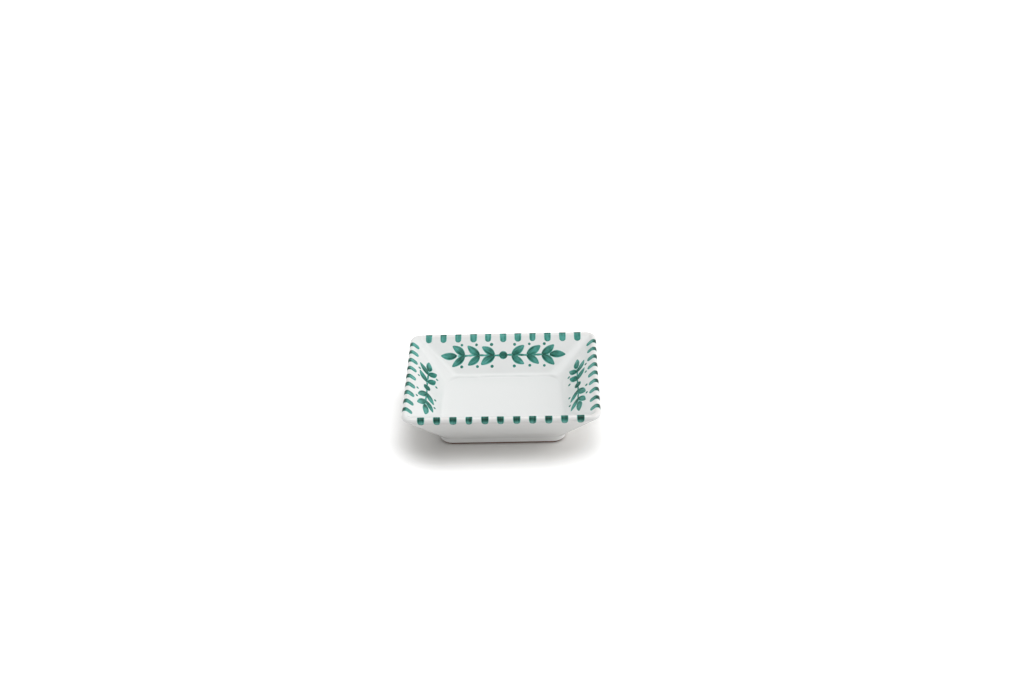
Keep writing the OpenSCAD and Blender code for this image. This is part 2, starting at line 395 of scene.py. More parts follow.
# %% Model the glaze in the hollow
ring_end = (RING_IN_INSET, BARE_HEIGHT, HOLLOW_CORNER)
seen_hollow = hollow(0)
hollow_outlines = (clay_hollow[::-1] + between(clay_hollow[0], ring_end, SHORT_STEPS)
                   + [ring_end] + between(ring_end, seen_hollow[0], SHORT_STEPS) + seen_hollow)
hollow_glaze = build_shell("hollow_glaze", hollow_outlines)

# %% [markdown]
# ## A mark of the brush
# Every leaf, berry and dab is one touch of a loaded brush. It lies on the glaze as a very thin
# cushion that is thickest inside and runs out to nothing at its edge. A flat grid becomes such
# a mark: each row of its points is set to the brush's place and width at that moment. The grid
# brings its own UV map, in which u runs along the stroke and v across it, and that is what the
# material later needs for streaks and for the pooled rim. One more value is kept on each point,
# the load: how much colour the brush left there. A thin body under the cushion, inside the
# glaze, makes every mark a closed solid.

# %% A helper that shapes a grid into a mark
PAINT_HEIGHT, PAINT_CROWN, PAINT_SUNK, PAINT_BODY = 0.05, 0.03, 0.04, 0.1
MARK_ACROSS, BLEED, MERGE_WITHIN = 8, 0.18, 0.005


def lay_mark(name, rows, height=1.0):
    """Each row is the brush's place (along, aside, up), its half width and its load."""
    fresh_start()
    bpy.ops.mesh.primitive_grid_add(x_subdivisions=len(rows) - 1, y_subdivisions=MARK_ACROSS, size=1)
    mark = bpy.context.object
    mark.name = mark.data.name = name
    load = mark.data.attributes.new("load", "FLOAT", "POINT")
    for number in range(len(mark.data.vertices)):
        load.data[number].value = rows[number % len(rows)][4]
    bpy.ops.object.mode_set(mode="EDIT")
    grid = edited_mesh()
    points = list(grid.verts)
    for number, (along, aside, up, half_width, _) in enumerate(rows):
        column = number / (len(rows) - 1) - 0.5
        half_width *= 1 + BLEED
        pick(points[number::len(rows)])
        bpy.ops.transform.resize(value=(1, 2 * half_width * MM, 1), center_override=(column, 0, 0))
        bpy.ops.transform.translate(value=(along * MM - column, aside * MM, up * MM))
    inner = [point for k, point in enumerate(points) if 0 < k % len(rows) < len(rows) - 1]
    body = [point for point in inner if not point.is_boundary]
    crown = [point for point in body if not any(edge.other_vert(point).is_boundary
                                                for edge in point.link_edges)]
    pick(points)
    bpy.ops.transform.shrink_fatten(value=-PAINT_SUNK * MM)
    pick(body)
    bpy.ops.transform.shrink_fatten(value=(PAINT_SUNK + PAINT_HEIGHT * height) * MM)
    pick(crown)
    bpy.ops.transform.shrink_fatten(value=PAINT_CROWN * height * MM)
    pick(points)
    bpy.ops.mesh.remove_doubles(threshold=MERGE_WITHIN * MM)
    bpy.ops.object.mode_set(mode="OBJECT")
    thicken = mark.modifiers.new("body", "SOLIDIFY")
    thicken.thickness, thicken.offset = PAINT_BODY * MM, -1
    bpy.ops.object.modifier_apply(modifier=thicken.name)
    bpy.ops.object.shade_smooth_by_angle(angle=SMOOTH_BELOW)
    return mark


def copy_mark(mark, along, aside, turn=0.0, size=1.0):
    """A copy with a mesh of its own, turned and laid at a place in the flat pattern."""
    fresh_start()
    mark.select_set(True)
    bpy.context.view_layer.objects.active = mark
    bpy.ops.object.duplicate()
    copy = bpy.context.object
    copy.location = (along * MM, aside * MM, 0)
    copy.rotation_euler = (0, 0, turn)
    copy.scale = (size, size, 1)
    bpy.ops.object.transform_apply()
    return copy


def join_marks(name, marks):
    fresh_start()
    for mark in marks:
        mark.select_set(True)
    bpy.context.view_layer.objects.active = marks[0]
    bpy.ops.object.join()
    bpy.context.object.name = bpy.context.object.data.name = name
    return bpy.context.object


# %% [markdown]
# ## The garland's marks
# A leaf is pressed down and lifted: narrow where the brush lands, widest before the middle, and
# drawn out to a point. No two leaves of a painter are alike, so four leaves are modelled that
# bow one way or the other and are a little slimmer or fuller, and the pattern picks among them.
# Buds and berries are round touches, a stem is one long pull of the brush.

# %% Model the leaves, the berry and the bud
LEAF_LENGTH, LEAF_WIDTH, LEAF_ANGLE, LEAF_PITCH = 8.2, 3.7, radians(38), 6.4
STEM_WIDTH, STEM_DROP, GARLAND_GAP = 1.1, 9.7, 0.4
BERRY, BUD, BUD_RISE, BUD_LEAD = 4.0, 1.5, 5.4, 1.4
LEAF_ROWS, BERRY_ROWS, BUD_ROWS = 18, 14, 10
LEAF_LOAD, LEAF_FADE, TIP_STARTS, TIP_LOAD = 0.86, 0.34, 0.85, 0.1


def leaf_rows(bow, fullness):
    rows = []
    for k in range(LEAF_ROWS + 1):
        u = k / LEAF_ROWS
        half_width = LEAF_WIDTH / 2 * fullness * sin(pi * u ** 0.9) ** 0.8 if 0 < k < LEAF_ROWS else 0
        load = LEAF_LOAD - LEAF_FADE * u + TIP_LOAD * max(0, u - TIP_STARTS) / (1 - TIP_STARTS)
        rows.append((LEAF_LENGTH * u, bow * sin(pi * u), 0, half_width, load))
    return rows


def round_rows(size, steps, start_load, end_load):
    rows = []
    for k in range(steps + 1):
        turn = pi * k / steps
        half_width = size / 2 * sin(turn) if 0 < k < steps else 0
        load = start_load + (end_load - start_load) * k / steps
        rows.append((-size / 2 * cos(turn), 0, 0, half_width, load))
    return rows


leaves = [lay_mark("leaf", leaf_rows(bow, fullness))
          for bow, fullness in ((0.28, 1.0), (-0.28, 1.0), (0.16, 0.88), (-0.16, 1.06))]
berry = lay_mark("berry", round_rows(BERRY, BERRY_ROWS, 0.95, 0.7))
bud = lay_mark("bud", round_rows(BUD, BUD_ROWS, 0.8, 0.6), height=0.7)
print(len(leaves), "leaves, each of", len(leaves[0].data.polygons), "faces")

# %% [markdown]
# ## The garlands
# The pattern is laid out flat first, as on tracing paper: a berry in the middle, a stem to both
# sides, pairs of leaves with a bud beside each, and one leaf at either end. How many pairs fit
# depends on how far the flat of the wall reaches between its round corners.

# %% Lay out a garland
STEM_ROW, STEM_UNDER_LEAF = 0.8, 1
LEAF_SWAY, END_LEAF_SWAY, LEAF_SIZES = 0.07, 0.05, (0.94, 1.03)
BUD_SHIFT_ALONG, BUD_SHIFT_ASIDE, BUD_SIZES = 0.2, 0.15, (0.88, 1.12)
hand = random.Random(11)


def flat_reach(length, drop):
    """How far the flat of a wall reaches from its middle, this far down the slope."""
    inset = WALL_TOP_INSET + drop * cos(IN_SLOPE)
    return length / 2 - inset - well_corner(inset)


def stem_rows(reach):
    """The stem swells a little, sways a little and carries more and less colour by turns."""
    steps = round(2 * reach / STEM_ROW)
    rows = []
    for k in range(steps + 1):
        along = reach * (2 * k / steps - 1)
        half_width = STEM_WIDTH / 2 * (0.92 + 0.16 * sin(2.3 * along)) if 0 < k < steps else 0
        sway = 0.14 * sin(0.37 * along)
        load = 0.62 + 0.1 * sin(0.9 * along)
        rows.append((along, sway, 0, half_width, load))
    return rows


def garland(side_length):
    low_leaf = STEM_DROP + LEAF_LENGTH * sin(LEAF_ANGLE)
    stem_end = min(flat_reach(side_length, STEM_DROP) - LEAF_LENGTH,
                   flat_reach(side_length, low_leaf) - LEAF_LENGTH * cos(LEAF_ANGLE)
                   + LEAF_PITCH / 2) - GARLAND_GAP
    pairs = max(1, round((stem_end - BERRY) / LEAF_PITCH))
    step = (stem_end - BERRY) / (pairs - 1 / 2)
    marks = [lay_mark("stem", stem_rows(stem_end + STEM_UNDER_LEAF), height=0.6),
             copy_mark(berry, 0, 0, hand.uniform(0, 2 * pi))]
    for facing in (0, pi):
        way = cos(facing)
        for k in range(pairs):
            foot = way * (BERRY + k * step)
            for up in (1, -1):
                turn = facing + up * way * LEAF_ANGLE + hand.uniform(-LEAF_SWAY, LEAF_SWAY)
                marks.append(copy_mark(hand.choice(leaves), foot, 0, turn, hand.uniform(*LEAF_SIZES)))
                along = foot + way * BUD_LEAD + hand.uniform(-BUD_SHIFT_ALONG, BUD_SHIFT_ALONG)
                aside = up * BUD_RISE + hand.uniform(-BUD_SHIFT_ASIDE, BUD_SHIFT_ASIDE)
                marks.append(copy_mark(bud, along, aside, hand.uniform(0, 2 * pi),
                                       hand.uniform(*BUD_SIZES)))
        marks.append(copy_mark(hand.choice(leaves[:2]), way * stem_end, 0,
                               facing + hand.uniform(-END_LEAF_SWAY, END_LEAF_SWAY)))
    return join_marks("garland", marks)


# %% [markdown]
# Each garland is then laid on its wall like a transfer: tilted by the slope of the wall, turned
# to its side of the bowl, and moved to the wall's top edge and down by its drop.

# %% Lay the garlands on the four walls
def side_reach(side):
    """How far the outside of the lip on this side is from the middle; side 0 is at the back."""
    return (RIM_WIDTH if side % 2 == 0 else RIM_LENGTH) / 2


def turned(side, x, y, z):
    return Matrix.Rotation(side * pi / 2, 3, "Z") @ Vector((x * MM, y * MM, z * MM))


garlands = []
for side in range(4):
    flat = garland(RIM_LENGTH if side % 2 == 0 else RIM_WIDTH)
    flat.rotation_euler = (IN_SLOPE, 0, side * pi / 2)
    flat.location = turned(side, 0, side_reach(side) - WALL_TOP_INSET - STEM_DROP * cos(IN_SLOPE),
                           WALL_TOP_HEIGHT - STEM_DROP * sin(IN_SLOPE))
    bpy.ops.object.transform_apply()
    garlands.append(flat)
wall_garlands = join_marks("wall_garlands", garlands)
print("the garlands have", len(wall_garlands.data.polygons), "faces")

# %% [markdown]
# ## The dabs over the lip
# A dab begins on the inner wall, is pulled up and over the lip and ends just under it outside.
# Its rows follow that path: up a straight, round the lip, down a straight. The tip on the
# inside is rounded like the brush, and the outer end is a little narrower. The most colour
# stays on the turn of the lip, where the brush is pressed against it, and the dab is darker
# there also as painted shade where the lip turns over.

# %% Model the dabs
DAB_WIDTH, DAB_PITCH, DAB_MARGIN, DAB_INSIDE, DAB_OUTSIDE = 3.2, 7.2, 9.0, 3.2, 2.0
DAB_ROWS, DAB_TIP_ROWS, DAB_END_ROWS = 34, 8, 6
DAB_TIP, DAB_END, DAB_FULL, DAB_NARROWING = 1.5, 1.2, 2.6, 0.26
CREST_PLACE, CREST_REACH, DAB_LOAD, CREST_LOAD_AND_SHADE = 2.1, 1.6, 0.6, 0.4
LIP_ARC = IN_SLOPE + pi - OUT_SLOPE
DAB_LENGTH = DAB_INSIDE + LIP_ARC * LIP_ROUND + DAB_OUTSIDE


def dab_place(travel):
    """The path's height and reach over the lip's centre, after this much travel from the tip."""
    if travel < DAB_INSIDE:
        left = DAB_INSIDE - travel
        return (-LIP_ROUND * sin(IN_SLOPE) - left * cos(IN_SLOPE),
                LIP_ROUND * cos(IN_SLOPE) - left * sin(IN_SLOPE))
    if travel < DAB_INSIDE + LIP_ARC * LIP_ROUND:
        turn = IN_SLOPE - (travel - DAB_INSIDE) / LIP_ROUND
        return -LIP_ROUND * sin(turn), LIP_ROUND * cos(turn)
    gone = travel - DAB_INSIDE - LIP_ARC * LIP_ROUND
    return (LIP_ROUND * sin(OUT_SLOPE) - gone * cos(OUT_SLOPE),
            -LIP_ROUND * cos(OUT_SLOPE) - gone * sin(OUT_SLOPE))


def round_end(left, length):
    """The share of the width where this much is left of a rounded end of this length."""
    return (1 - (1 - min(1, left / length)) ** 2) ** 0.5


def dab_rows(fullness, lean, reach_in):
    """Rows lie closer together at the two ends, which are round."""
    rows = []
    start = DAB_INSIDE * (1 - reach_in)
    for k in range(DAB_ROWS + 1):
        even = DAB_TIP_ROWS <= k <= DAB_ROWS - DAB_END_ROWS
        u = k / DAB_ROWS if even else 0.5 - 0.5 * cos(pi * k / DAB_ROWS)
        travel = start + (DAB_LENGTH - start) * u
        over_lip = travel - DAB_INSIDE
        narrowing = DAB_NARROWING * max(0, over_lip - DAB_FULL) / (DAB_LENGTH - DAB_INSIDE - DAB_FULL)
        half_width = (DAB_WIDTH / 2 * fullness * round_end(travel - start, DAB_TIP)
                      * round_end(DAB_LENGTH - travel, DAB_END) * (1 - narrowing))
        place, height = dab_place(travel)
        # More colour on the crest of the lip: partly the pressed brush, partly painted shade where the lip
        # turns over.
        crest = max(0, 1 - abs(over_lip - CREST_PLACE) / CREST_REACH)
        load = DAB_LOAD + CREST_LOAD_AND_SHADE * crest ** 0.7
        rows.append((place, lean * (u - 0.5), height, half_width if 0 < k < DAB_ROWS else 0, load))
    return rows


dabs = [lay_mark("dab", dab_rows(fullness, lean, reach_in))
        for fullness, lean, reach_in in ((1.0, 0.15, 1.0), (0.94, -0.2, 0.92), (1.04, 0.0, 0.96))]

# %% Lay the dabs over the lip, evenly spaced along each side
DAB_SHIFT = 0.12
laid = []
for side in range(4):
    side_length = RIM_LENGTH if side % 2 == 0 else RIM_WIDTH
    reach = side_length / 2 - DAB_MARGIN
    count = round(reach / DAB_PITCH)
    for k in range(-count, count + 1):
        dab = copy_mark(hand.choice(dabs), 0, 0)
        dab.rotation_euler = (0, 0, (side + 1) * pi / 2)
        dab.location = turned(side, k * reach / count + hand.uniform(-DAB_SHIFT, DAB_SHIFT),
                              side_reach(side) - LIP_ROUND, LIP_HEIGHT)
        bpy.ops.object.transform_apply()
        laid.append(dab)
lip_dabs = join_marks("lip_dabs", laid)
print(len(laid), "dabs with", len(lip_dabs.data.polygons), "faces")

# %% Put the models of the marks away
fresh_start()
for mark in leaves + dabs + [berry, bud]:
    mark.select_set(True)
bpy.ops.object.delete()

# %% [markdown]
# ## The unevenness of handwork
# Pressed clay warps a little as it dries, and glaze runs where it likes. Perfectly flat walls
# would give reflections like those of plastic. A soft cloud pattern therefore moves every point
# by up to a fifth of a millimetre. The pattern depends only on the place, so glaze, clay and
# paint move together and stay in touch. Near the table it fades out, and the foot stays flat.

# %% Make the pieces a little uneven
WARP_SIZE, WARP_STRENGTH = 26.0, 0.3
WARP_STARTS, WARP_FULL = 0.6, 6.0
warp = bpy.data.textures.new("warp", "CLOUDS")
warp.cloud_type = "COLOR"
warp.noise_scale = WARP_SIZE * MM
warp.noise_depth = 1


def make_uneven(piece):
    reach = piece.vertex_groups.new(name="reach")
    for point in piece.data.vertices:
        share = (point.co.z / MM - WARP_STARTS) / (WARP_FULL - WARP_STARTS)
        reach.add([point.index], min(1.0, max(0.0, share)), "REPLACE")
    fresh_start()
    bpy.context.view_layer.objects.active = piece
    piece.select_set(True)
    move = piece.modifiers.new("warp", "DISPLACE")
    move.texture, move.texture_coords, move.direction = warp, "LOCAL", "RGB_TO_XYZ"
    move.mid_level, move.strength, move.vertex_group = 0.5, WARP_STRENGTH * MM, "reach"
    bpy.ops.object.modifier_apply(modifier=move.name)
    piece.vertex_groups.clear()


pieces = [white_glaze_coat, fired_clay_body, hollow_glaze, wall_garlands, lip_dabs]
for piece in pieces:
    before = [point.co.copy() for point in piece.data.vertices]
    make_uneven(piece)
    moved = max((point.co - old).length for point, old in zip(piece.data.vertices, before))
    print(f"{piece.name} moved by up to {moved / MM:.2f} mm")

# %% [markdown]
# The paint on the lip may now stand a hair outside the box of the solids, so the pieces are
# measured together and all drawn in by the same tiny share about the middle of the foot.

# %% Keep the pieces inside the solids' box
reach_now = [max(abs(point.co[axis]) for piece in pieces for point in piece.data.vertices)
             for axis in range(3)]
reach_solid = [max(abs(solid_box[0][axis]), abs(solid_box[1][axis])) for axis in range(3)]
fit = [min(1.0, solid / now) for solid, now in zip(reach_solid, reach_now)]
print("drawn in by", [round(share, 5) for share in fit])
fresh_start()
for piece in pieces:
    piece.select_set(True)
bpy.ops.transform.resize(value=fit, center_override=(0, 0, 0))
bpy.ops.object.transform_apply()

# %% [markdown]
# ## Finishes
# Materials are built from nodes. A few helpers keep that short: one puts a value or a link into
# a socket, one does arithmetic, one turns a range of values into a soft mask, one makes clouds
# of a given size in millimetres, and one blends two colours.

# %% Helpers for nodes
def put(tree, value, socket):
    if isinstance(value, bpy.types.NodeSocket):
        tree.links.new(value, socket)
    else:
        socket.default_value = value


def calc(tree, operation, *values):
    node = tree.nodes.new("ShaderNodeMath")
    node.operation = operation
    for value, socket in zip(values, node.inputs):
        put(tree, value, socket)
    return node.outputs[0]


def times(tree, first, *others):
    for value in others:
        first = calc(tree, "MULTIPLY", first, value)
    return first


def mask(tree, value, low, high):
    """0 below low, 1 above high, soft between; low may be the larger, which turns it round."""
    node = tree.nodes.new("ShaderNodeMapRange")
    node.interpolation_type = "SMOOTHSTEP"
    for put_in, socket in zip((value, min(low, high), max(low, high)), node.inputs):
        put(tree, put_in, socket)
    result = node.outputs[0]
    return result if low < high else calc(tree, "SUBTRACT", 1.0, result)


def clouds(tree, vector, size, detail=2.0, roughness=0.5):
    """Soft clouds whose lumps are this many millimetres large."""
    node = tree.nodes.new("ShaderNodeTexNoise")
    put(tree, vector, node.inputs["Vector"])
    for name, value in (("Scale", 1 / (size * MM)), ("Detail", detail), ("Roughness", roughness)):
        node.inputs[name].default_value = value
    return node.outputs["Fac"]


def blend(tree, share, first, second):
    """A mix of two colours, which this node takes in its sockets 6 and 7."""
    node = tree.nodes.new("ShaderNodeMix")
    node.data_type = "RGBA"
    put(tree, share, node.inputs["Factor"])
    put(tree, first, node.inputs[6])
    put(tree, second, node.inputs[7])
    return node.outputs[2]


def here(tree):
    """The place on the piece, in metres."""
    return tree.nodes.new("ShaderNodeTexCoord").outputs["Object"]


def coordinate(tree, place, axis):
    """How far along one axis a place lies, in millimetres."""
    parts = tree.nodes.new("ShaderNodeSeparateXYZ")
    tree.links.new(place, parts.inputs[0])
    return calc(tree, "DIVIDE", parts.outputs[axis], MM)


def from_middle(tree, place, middle=0.0):
    """How far a place is from the middle along X and along Y, in millimetres."""
    offset = calc(tree, "SUBTRACT", coordinate(tree, place, "X"), middle)
    return [calc(tree, "ABSOLUTE", value) for value in (offset, coordinate(tree, place, "Y"))]


def bump(tree, height, shader):
    """Height in metres pushes the shading, and nothing else."""
    node = tree.nodes.new("ShaderNodeBump")
    put(tree, height, node.inputs["Height"])
    node.inputs["Distance"].default_value = 1.0
    tree.links.new(node.outputs["Normal"], shader.inputs["Normal"])


def new_material(name):
    material = bpy.data.materials.new(name)
    material.use_nodes = True
    return material, material.node_tree, material.node_tree.nodes["Principled BSDF"]


# %% [markdown]
# ## What glaze does, and where shade is painted on it
# White glaze is a thin glass. It draws away from edges, where the warm clay shines through a
# little, and it is thinner all over the outside. Along the floor's long sides the bend is painted
# greyer, as painted shade in the crease, and a faint band of painted shade lies under the lip.
# Its surface is wavy, with finer ripples in it. White parts, the hollow and the painted marks all
# need this, so it is built once, as a node group that puts out two masks and a height. Where each
# effect begins and ends is given in millimetres from the floor, the lip or the outside of the bowl.

# %% Glaze skin: its sockets, and where on the bowl a point lies
PATCH_SIZE, OUTSIDE_STARTS, OUTSIDE_FULL = 11.0, 0.5, -1.0
WALL_STEEPNESS = ((LIP_HEIGHT - (FLOOR_HEIGHT + FOOT_HEIGHT) / 2)
                  / ((FLOOR_INSET + FOOT_INSET) / 2 - LIP_ROUND))
skin = bpy.data.node_groups.new("glaze_skin", "ShaderNodeTree")
for name in ("Thin", "Painted shade", "Height"):
    skin.interface.new_socket(name, in_out="OUTPUT", socket_type="NodeSocketFloat")
skin.interface.new_socket("Waves", in_out="INPUT", socket_type="NodeSocketFloat").default_value = 1.0
skin_in, skin_out = skin.nodes.new("NodeGroupInput"), skin.nodes.new("NodeGroupOutput")
place = here(skin)
height = coordinate(skin, place, "Z")
patches = clouds(skin, place, PATCH_SIZE, 3.0, 0.55)

far_x, far_y = from_middle(skin, place)
inset = calc(skin, "MINIMUM", calc(skin, "SUBTRACT", RIM_LENGTH / 2, far_x),
             calc(skin, "SUBTRACT", RIM_WIDTH / 2, far_y))
past_wall = calc(skin, "SUBTRACT", calc(skin, "MULTIPLY_ADD", inset, WALL_STEEPNESS, height), LIP_HEIGHT)
outside = mask(skin, past_wall, WALL_STEEPNESS * LIP_ROUND + OUTSIDE_STARTS,
               WALL_STEEPNESS * LIP_ROUND + OUTSIDE_FULL)

# %% Glaze skin: where it is thin, and the painted shade in the crease and under the lip
WORN_PATCHES, SHADE_PATCHES = (0.34, 0.66), (0.2, 0.6)
WORN_UNDER_TOP, WORN_OVER_BEAD, OUTSIDE_THIN = 1.3, 1.1, 0.3
CREASE_STARTS, CREASE_FULL, CREASE_ENDS, CREASE_FADES = 0.02, 0.16, 0.7, 4.5
WELL_STARTS, WELL_FULL = 11.0, 13.0
LIP_SHADE_ENDS, LIP_SHADE_FULL, LIP_SHADE_FADES, LIP_SHADE_STARTS, LIP_SHADE_STRENGTH = -2.2, -1.1, -0.5, 0.3, 0.75
crest = mask(skin, height, BOWL_HEIGHT - WORN_UNDER_TOP, BOWL_HEIGHT)
bead_edge = mask(skin, height, BARE_HEIGHT + WORN_OVER_BEAD, BARE_HEIGHT)
worn = times(skin, calc(skin, "MAXIMUM", crest, bead_edge), mask(skin, patches, *WORN_PATCHES))
put(skin, calc(skin, "MAXIMUM", worn, times(skin, outside, OUTSIDE_THIN)), skin_out.inputs["Thin"])

# Painted shade: the glaze is darkened in the bend along the floor's long sides, and in a band under the lip
# outside.
long_sides = mask(skin, far_x, RIM_LENGTH / 2 - FLOOR_INSET, RIM_LENGTH / 2 - FLOOR_INSET - CREASE_FADES)
crease_shade = times(skin, mask(skin, height, FLOOR_HEIGHT + CREASE_STARTS, FLOOR_HEIGHT + CREASE_FULL),
               mask(skin, height, FLOOR_HEIGHT + CREASE_ENDS, FLOOR_HEIGHT + CREASE_FULL),
               mask(skin, inset, WELL_STARTS, WELL_FULL), long_sides)
under_lip_shade = times(skin, mask(skin, height, LIP_HEIGHT + LIP_SHADE_ENDS, LIP_HEIGHT + LIP_SHADE_FULL),
             mask(skin, height, LIP_HEIGHT + LIP_SHADE_STARTS, LIP_HEIGHT + LIP_SHADE_FADES),
             outside, LIP_SHADE_STRENGTH)
painted_shade = times(skin, calc(skin, "MAXIMUM", crease_shade, under_lip_shade), mask(skin, patches, *SHADE_PATCHES))
put(skin, painted_shade, skin_out.inputs["Painted shade"])

# %% Glaze skin: its waves
WAVE_SIZE, WAVE_HEIGHT, RIPPLE_SIZE, RIPPLE_HEIGHT = 9.0, 0.10, 1.6, 0.006
long_waves = times(skin, clouds(skin, place, WAVE_SIZE, 1.0), WAVE_HEIGHT * MM)
ripples = times(skin, clouds(skin, place, RIPPLE_SIZE, 2.0), RIPPLE_HEIGHT * MM)
waves = calc(skin, "ADD", long_waves, ripples)
put(skin, times(skin, waves, skin_in.outputs["Waves"]), skin_out.inputs["Height"])
print(skin.name, "has", len(skin.nodes), "nodes")


def glaze_skin(tree, waves=1.0):
    node = tree.nodes.new("ShaderNodeGroup")
    node.node_tree = skin
    node.inputs["Waves"].default_value = waves
    return node.outputs


# %% Material: white glaze
GLAZE_WHITE = (0.84, 0.85, 0.843, 1)
THIN_GLAZE = (0.80, 0.765, 0.74, 1)
# The grey towards which the painted shade in the crease and under the lip darkens the glaze.
SHADED_GLAZE = (0.645, 0.66, 0.655, 1)
SHADE_SHARE, THIN_SHARE = 0.72, 0.55


def white_glaze(name, waves):
    material, tree, shader = new_material(name)
    parts = glaze_skin(tree, waves)
    colour = blend(tree, times(tree, parts["Painted shade"], SHADE_SHARE), GLAZE_WHITE, SHADED_GLAZE)
    colour = blend(tree, times(tree, parts["Thin"], THIN_SHARE), colour, THIN_GLAZE)
    put(tree, colour, shader.inputs["Base Color"])
    shader.inputs["Roughness"].default_value = 0.1
    shader.inputs["IOR"].default_value = 1.5
    bump(tree, parts["Height"], shader)
    print(name, "has", len(tree.nodes), "nodes")
    return material


white_glaze_coat.data.materials.append(white_glaze("white_glaze", 1.0))
hollow_glaze.data.materials.append(white_glaze("hollow_white_glaze", 1.6))

# %% [markdown]
# ## Fired clay
# The bare ring shows the clay: red-brown, matt, with coarser grains in a fine ground. Its
# tones are painted darker than the clay, as painted shade for the contact shadow at the table.
# The flat that rubs on tables is a little smoother and lighter than the edges.

# %% Material: fired clay
# Both base tones are darker than the clay alone: they hold painted shade for the contact shadow along the
# table.
DARK_CLAY_AND_SHADE, LIGHT_CLAY_AND_SHADE = (0.115, 0.055, 0.036, 1), (0.19, 0.092, 0.06, 1)
LIGHT_GRAIN, DARK_GRAIN = (0.30, 0.175, 0.12, 1), (0.06, 0.028, 0.02, 1)
RUBBED_CLAY, RUBBED_SHARE, RUBBED_BELOW = (0.40, 0.24, 0.17, 1), 0.3, 0.25
GRAIN_SIZE, GRAIN_RELIEF, BLOTCH_SIZE = 0.35, 0.05, 4.0
material, tree, shader = new_material("bare_clay")
place = here(tree)
grain = clouds(tree, place, GRAIN_SIZE, 4.0, 0.7)
blotch = clouds(tree, place, BLOTCH_SIZE, 2.0)
rubbed = mask(tree, coordinate(tree, place, "Z"), RUBBED_BELOW, 0.02)
colour = blend(tree, mask(tree, blotch, 0.3, 0.7), DARK_CLAY_AND_SHADE, LIGHT_CLAY_AND_SHADE)
colour = blend(tree, mask(tree, grain, 0.62, 0.75), colour, LIGHT_GRAIN)
colour = blend(tree, mask(tree, grain, 0.36, 0.26), colour, DARK_GRAIN)
colour = blend(tree, times(tree, rubbed, RUBBED_SHARE), colour, RUBBED_CLAY)
put(tree, colour, shader.inputs["Base Color"])
put(tree, calc(tree, "SUBTRACT", 0.9, times(tree, rubbed, 0.2)), shader.inputs["Roughness"])
bump(tree, times(tree, grain, GRAIN_RELIEF * MM), shader)
fired_clay_body.data.materials.append(material)
print(material.name, "has", len(tree.nodes), "nodes")

# %% [markdown]
# ## Green pigment
# The green is painted on the raw glaze and melts into it in the kiln. Where the brush left
# much colour it is nearly black-green, where it left little the white shines through as teal.
# The bristles leave streaks along the stroke, colour pools just inside the rim of a mark, and
# outside that it bleeds into the glaze. So a single value, the strength of the colour, is put
# together from the load, the streaks, soft washes and the distance to the rim, and a colour
# ramp turns it into greens.

# %% Green pigment: where on the stroke a point lies
END_FACTOR = 5.0
material, tree, shader = new_material("green_pigment")
uv = tree.nodes.new("ShaderNodeUVMap")
uv.uv_map = "UVMap"
uv_parts = tree.nodes.new("ShaderNodeSeparateXYZ")
tree.links.new(uv.outputs[0], uv_parts.inputs[0])
u, v = uv_parts.outputs["X"], uv_parts.outputs["Y"]
load = tree.nodes.new("ShaderNodeAttribute")
load.attribute_name = "load"
place = here(tree)

from_side = calc(tree, "SUBTRACT", 1.0, calc(tree, "ABSOLUTE", calc(tree, "MULTIPLY_ADD", v, 2.0, -1.0)))
from_end = times(tree, calc(tree, "MINIMUM", u, calc(tree, "SUBTRACT", 1.0, u)), END_FACTOR)
from_rim = calc(tree, "MINIMUM", from_side, from_end)

# %% Green pigment: streaks and washes
BRISTLES_ALONG, BRISTLES_ACROSS, BRISTLES_CHANGE = 1.4, 7.0, 60.0
STREAK_SIZE, WASH_SIZE = 1000.0, 3.2
slow_place = tree.nodes.new("ShaderNodeVectorMath")
slow_place.operation = "SCALE"
tree.links.new(place, slow_place.inputs[0])
slow_place.inputs["Scale"].default_value = BRISTLES_CHANGE
bristles = tree.nodes.new("ShaderNodeCombineXYZ")
put(tree, times(tree, u, BRISTLES_ALONG), bristles.inputs["X"])
put(tree, times(tree, v, BRISTLES_ACROSS), bristles.inputs["Y"])
along_stroke = tree.nodes.new("ShaderNodeVectorMath")
along_stroke.operation = "ADD"
tree.links.new(bristles.outputs[0], along_stroke.inputs[0])
tree.links.new(slow_place.outputs[0], along_stroke.inputs[1])
streaks = clouds(tree, along_stroke.outputs[0], STREAK_SIZE, 3.0, 0.6)
washes = clouds(tree, place, WASH_SIZE, 2.0)

# %% Green pigment: how strong the colour is
STREAK_STRENGTH, WASH_STRENGTH, POOL_STRENGTH = 0.55, 0.5, 0.1
POOL_STARTS, POOL_FULL, POOL_ENDS = 0.22, 0.4, 0.7
BLEED_STARTS, BLEED_ENDS = -0.04, 0.38
pooled = times(tree, mask(tree, from_rim, POOL_STARTS, POOL_FULL), mask(tree, from_rim, POOL_ENDS, POOL_FULL))
strength = load.outputs["Fac"]
for pattern, share in ((streaks, STREAK_STRENGTH), (washes, WASH_STRENGTH)):
    strength = calc(tree, "MULTIPLY_ADD", calc(tree, "SUBTRACT", pattern, 0.5), share, strength)
strength = calc(tree, "MULTIPLY_ADD", pooled, POOL_STRENGTH, strength)
strength = times(tree, strength, mask(tree, from_rim, BLEED_STARTS, BLEED_ENDS))

